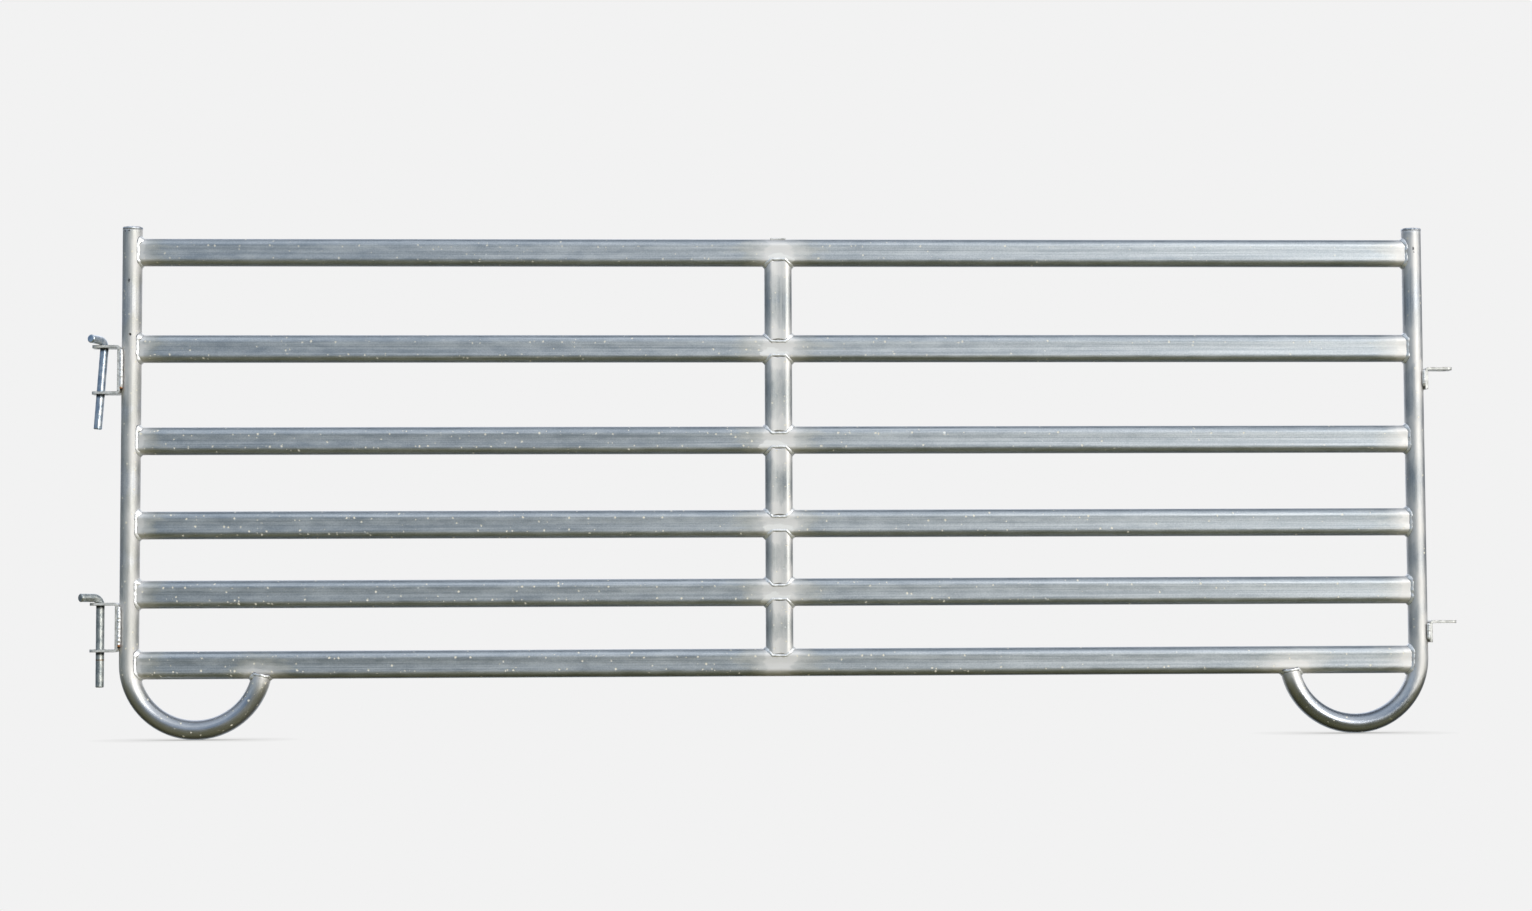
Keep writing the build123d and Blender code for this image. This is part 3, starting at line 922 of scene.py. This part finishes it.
# Light from round the panel, linear because some of it is brighter than white
HAZE = (0.2, 0.22, 0.23, 1)
SKY_LEFT = (0.18, 0.3, 0.48, 1)
SKY_RIGHT = (0.15, 0.21, 0.31, 1)
SKY_MIDDLE_LEFT = (0.66, 0.76, 0.88, 1)
SKY_MIDDLE_RIGHT = (1.1, 1.15, 1.2, 1)
SKY_TOP = (0.42, 0.52, 0.66, 1)
SKY_BACK = (0.12, 0.15, 0.2, 1)
SKY_BEHIND = (0.72, 0.77, 0.82, 1)
GROUND_FRONT = (0.115, 0.108, 0.03, 1)
GROUND_BACK = (0.018, 0.018, 0.006, 1)

# Parts of a direction along X, Y or Z between which one of those lights goes over into the next
LEFT_TO_RIGHT = (-0.3, 0.6)
MIDDLE_LEFT_TO_RIGHT = (-0.2, 0.3)
BACK_TO_FRONT = (0.25, -0.35)
ROUND_TO_BEHIND = (0.5, 0.85)
GROUND_TO_SKY = (-0.14, 0.0)
HAZE_TO_SIDES = (-0.05, 0.15)
SIDES_TO_MIDDLE = (0.25, 0.6)
MIDDLE_TO_TOP = (0.88, 1.0)

# Soft lights: degrees to the right of the front, above the ground and across, then strength and colour
LIGHTS = {
    "key": (30, 14, 26, 1.28, "#FFFDF8"),
    "side": (62, 14, 40, 0.55, "#FFFDF8"),
    "back": (195, 28, 60, 0.5, "#E8EEFF"),
}


def studio_world():
    """Soft light from all round: cool in front, brighter to the right, dim olive from below, a glow behind.

    The camera itself sees the plain pale tone of the floor.
    """
    world = bpy.data.worlds.new("studio")
    world.use_nodes = True
    tree = world.node_tree
    x, y, z = add(tree, "SeparateXYZ", {0: add(tree, "TexCoord", output="Generated")}).node.outputs
    sides = fade(tree, x, *LEFT_TO_RIGHT, SKY_LEFT, SKY_RIGHT)
    sides = fade(tree, z, *HAZE_TO_SIDES, HAZE, sides)
    middle = fade(tree, x, *MIDDLE_LEFT_TO_RIGHT, SKY_MIDDLE_LEFT, SKY_MIDDLE_RIGHT)
    above = fade(tree, z, *SIDES_TO_MIDDLE, sides, middle)
    above = fade(tree, z, *MIDDLE_TO_TOP, above, SKY_TOP)
    sky = fade(tree, y, *BACK_TO_FRONT, SKY_BACK, above)
    ground = fade(tree, y, *BACK_TO_FRONT, GROUND_BACK, GROUND_FRONT)
    around = fade(tree, z, *GROUND_TO_SKY, ground, sky)
    around = fade(tree, y, *ROUND_TO_BEHIND, around, SKY_BEHIND)
    seen = add(tree, "LightPath", output="Is Camera Ray")
    shown = add(tree, "Mix", {0: seen, 6: around, 7: PALE}, **COLOUR_MIX)
    feed(tree.nodes["Background"], {"Color": shown})
    bpy.context.scene.world = world


def pale_floor():
    """A wide pale disc that glows evenly, with a painted contact shadow only close under what stands on it;
    it lights and shades nothing.
    """
    turn = np.linspace(0, 2 * pi, FLOOR_SIDES, endpoint=False)
    rim = stack(FLOOR_RADIUS * np.cos(turn), FLOOR_RADIUS * np.sin(turn), 0 * turn)
    mesh = bpy.data.meshes.new("floor")
    mesh.from_pydata(rim.tolist(), [], [list(range(FLOOR_SIDES))])
    material, tree, _ = new_material("pale_studio_floor")
    # Painted shadow: the floor's glow darkens towards FLOOR_SHADE close under the panel
    contact_shadow = add(tree, "AmbientOcclusion", {"Distance": FLOOR_SHADE_REACH}, "AO", samples=16)
    colour = add(tree, "Mix", {0: contact_shadow, 6: FLOOR_SHADE, 7: PALE}, **COLOUR_MIX)
    feed(tree.nodes["Material Output"], {"Surface": add(tree, "Emission", {"Color": colour})})
    mesh.materials.append(material)
    floor = bpy.data.objects.new("floor", mesh)
    bpy.context.scene.collection.objects.link(floor)
    floor.visible_diffuse = False
    floor.visible_glossy = False
    floor.visible_shadow = False


def soft_light(name, azimuth, elevation, spread, strength, colour):
    """A far soft light as wide as its spread, azimuth to the right of the front."""
    a, e = radians(azimuth), radians(elevation)
    way = Vector((sin(a) * cos(e), -cos(a) * cos(e), sin(e)))
    data = bpy.data.lights.new(name, "SUN")
    data.angle = radians(spread)
    data.energy = strength
    data.color = linear(colour)[:3]
    light = bpy.data.objects.new(name, data)
    light.rotation_mode = "QUATERNION"
    light.rotation_quaternion = way.to_track_quat("Z", "Y")
    bpy.context.scene.collection.objects.link(light)


def photo_camera():
    """The photograph's camera: turned to its yaw, raised by its pitch and rolled about its own axis."""
    data = bpy.data.cameras.new("photo_camera")
    data.sensor_width = SENSOR_WIDTH_MM
    data.lens = FOCAL_LENGTH_PX * SENSOR_WIDTH_MM / IMAGE_WIDTH_PX
    camera = bpy.data.objects.new("photo_camera", data)
    turn = Matrix.Rotation(CAMERA_YAW, 4, "Z") @ Matrix.Rotation(pi / 2 + CAMERA_PITCH, 4, "X")
    camera.matrix_world = Matrix.Translation(CAMERA_PLACE) @ turn @ Matrix.Rotation(CAMERA_ROLL, 4, "Z")
    bpy.context.scene.collection.objects.link(camera)
    bpy.context.scene.camera = camera


# Finishes: satin rails, the posts' zinc as a lighter copy with painted light on the left and a darker copy
# with painted shade on the right, pale bars with painted shade on their edges, bright pins

lower_seats, upper_seats = ((low.z, high.z - BAR_THICKNESS) for low, high in bracket_boxes)
pin_ring = lower_seats[0] - PIN_RING_DROP
nicks = {}
for side, places in POST_NICKS.items():
    nicks[side] = [(POST_RUN_STARTS[side] + down, *rest) for down, *rest in places]

tube_zinc = galvanised_tube("galvanised_oval_tube", "#9EA5AB", "#CBCFD2", 0.44)
# Painted light: the left post's zinc is drawn lighter than the right's, for the light that falls on it
lit_post_zinc = galvanised_tube(
    "galvanised_round_tube", "#C4C5C7", "#F2F0EE", 0.54, rail_heights[0], nicks[LEFT]
)
# Painted shade: the right post's zinc is drawn darker, for the shade it stands in
shaded_post_zinc = galvanised_tube(
    "shaded_galvanised_round_tube", "#A6ABB2", "#D8DADC", 0.48, rail_heights[0], nicks[RIGHT]
)
post_finishes = {LEFT: lit_post_zinc, RIGHT: shaded_post_zinc}
bar_zinc = galvanised_bar("galvanised_flat_bar", "#F4F2EE", "#C4C3BE", 0.45, 0.42, edge_shade=0.9)
cap_zinc = galvanised_bar("galvanised_pressed_disc", "#E8EAEE", "#B4B9C2", 0.75, 0.4)
pin_zinc = galvanised_bar(
    "galvanised_round_bar", "#E2E6EA", "#A9B8C8", 0.9, 0.3, fleck=0.4, seats=upper_seats
)
worn_pin_zinc = galvanised_bar(
    "worn_galvanised_round_bar", "#D2D4D0", "#9EA5A6", 0.85, 0.42,
    fleck=0.4, seats=lower_seats, ring=pin_ring,
)
weld_zinc = weld_metal()

# The panel

pin_finishes = {"lower_drop_pin": worn_pin_zinc, "upper_drop_pin": pin_zinc}
for name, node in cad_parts.items():
    node.data.materials[0] = pin_finishes.get(name, bar_zinc)

for name, height, dish, lean in zip(RAILS, rail_heights, RAIL_DISHES, ZINC_RUN_LEANS):
    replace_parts(rail(name, height, dish, lean, tube_zinc), name)
for name, low, high in zip(UPRIGHTS, rail_heights, rail_heights[1:]):
    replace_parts(upright(name, low, high, tube_zinc), name)

for word, side in SIDES.items():
    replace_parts(post(word, side, post_finishes[side]), f"{word}_post")
    cap = post_cap(word, side, CAP_NOTCHES[word], cap_zinc)
    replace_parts(cap, f"{word}_post_cap")
    runs = []
    for height in rail_heights:
        path, rail_out, post_out = rail_path(side, height)
        runs.append(weld_run(path, rail_out, post_out, BEAD_MOUND, BEAD_FILLET, start_swell(side, rail_out)))
    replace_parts(piece(f"{word}_rail_beads", runs, weld_zinc), f"{word}_rail_welds")
    foot = weld_run(*foot_path(side), BEAD_MOUND, BEAD_FILLET)
    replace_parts(piece(f"{word}_foot_bead", [foot], weld_zinc), f"{word}_foot_weld")

runs = []
for low, high in zip(rail_heights, rail_heights[1:]):
    for height, way in ((low, 1), (high, -1)):
        runs.append(weld_run(*upright_path(height, way), BEAD_MOUND, BEAD_FILLET))
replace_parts(piece("upright_beads", runs, weld_zinc), "upright_welds")

for side, name in ((LEFT, "bracket"), (RIGHT, "lug")):
    runs = []
    for path, out_a, out_b in groove_paths(side):
        taper = run_taper(len(path))
        runs.append(weld_run(path, out_a, out_b, GROOVE_BEAD, GROOVE_BEAD, taper, False, GROOVE_LUMPS))
    marks = {"rust": bead_rust} if side == LEFT else None
    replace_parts(piece(f"{name}_beads", runs, weld_zinc, marks), f"{name}_welds")

studio_world()
pale_floor()
for name, values in LIGHTS.items():
    soft_light(name, *values)
photo_camera()
bpy.context.scene.view_settings.view_transform = "Standard"
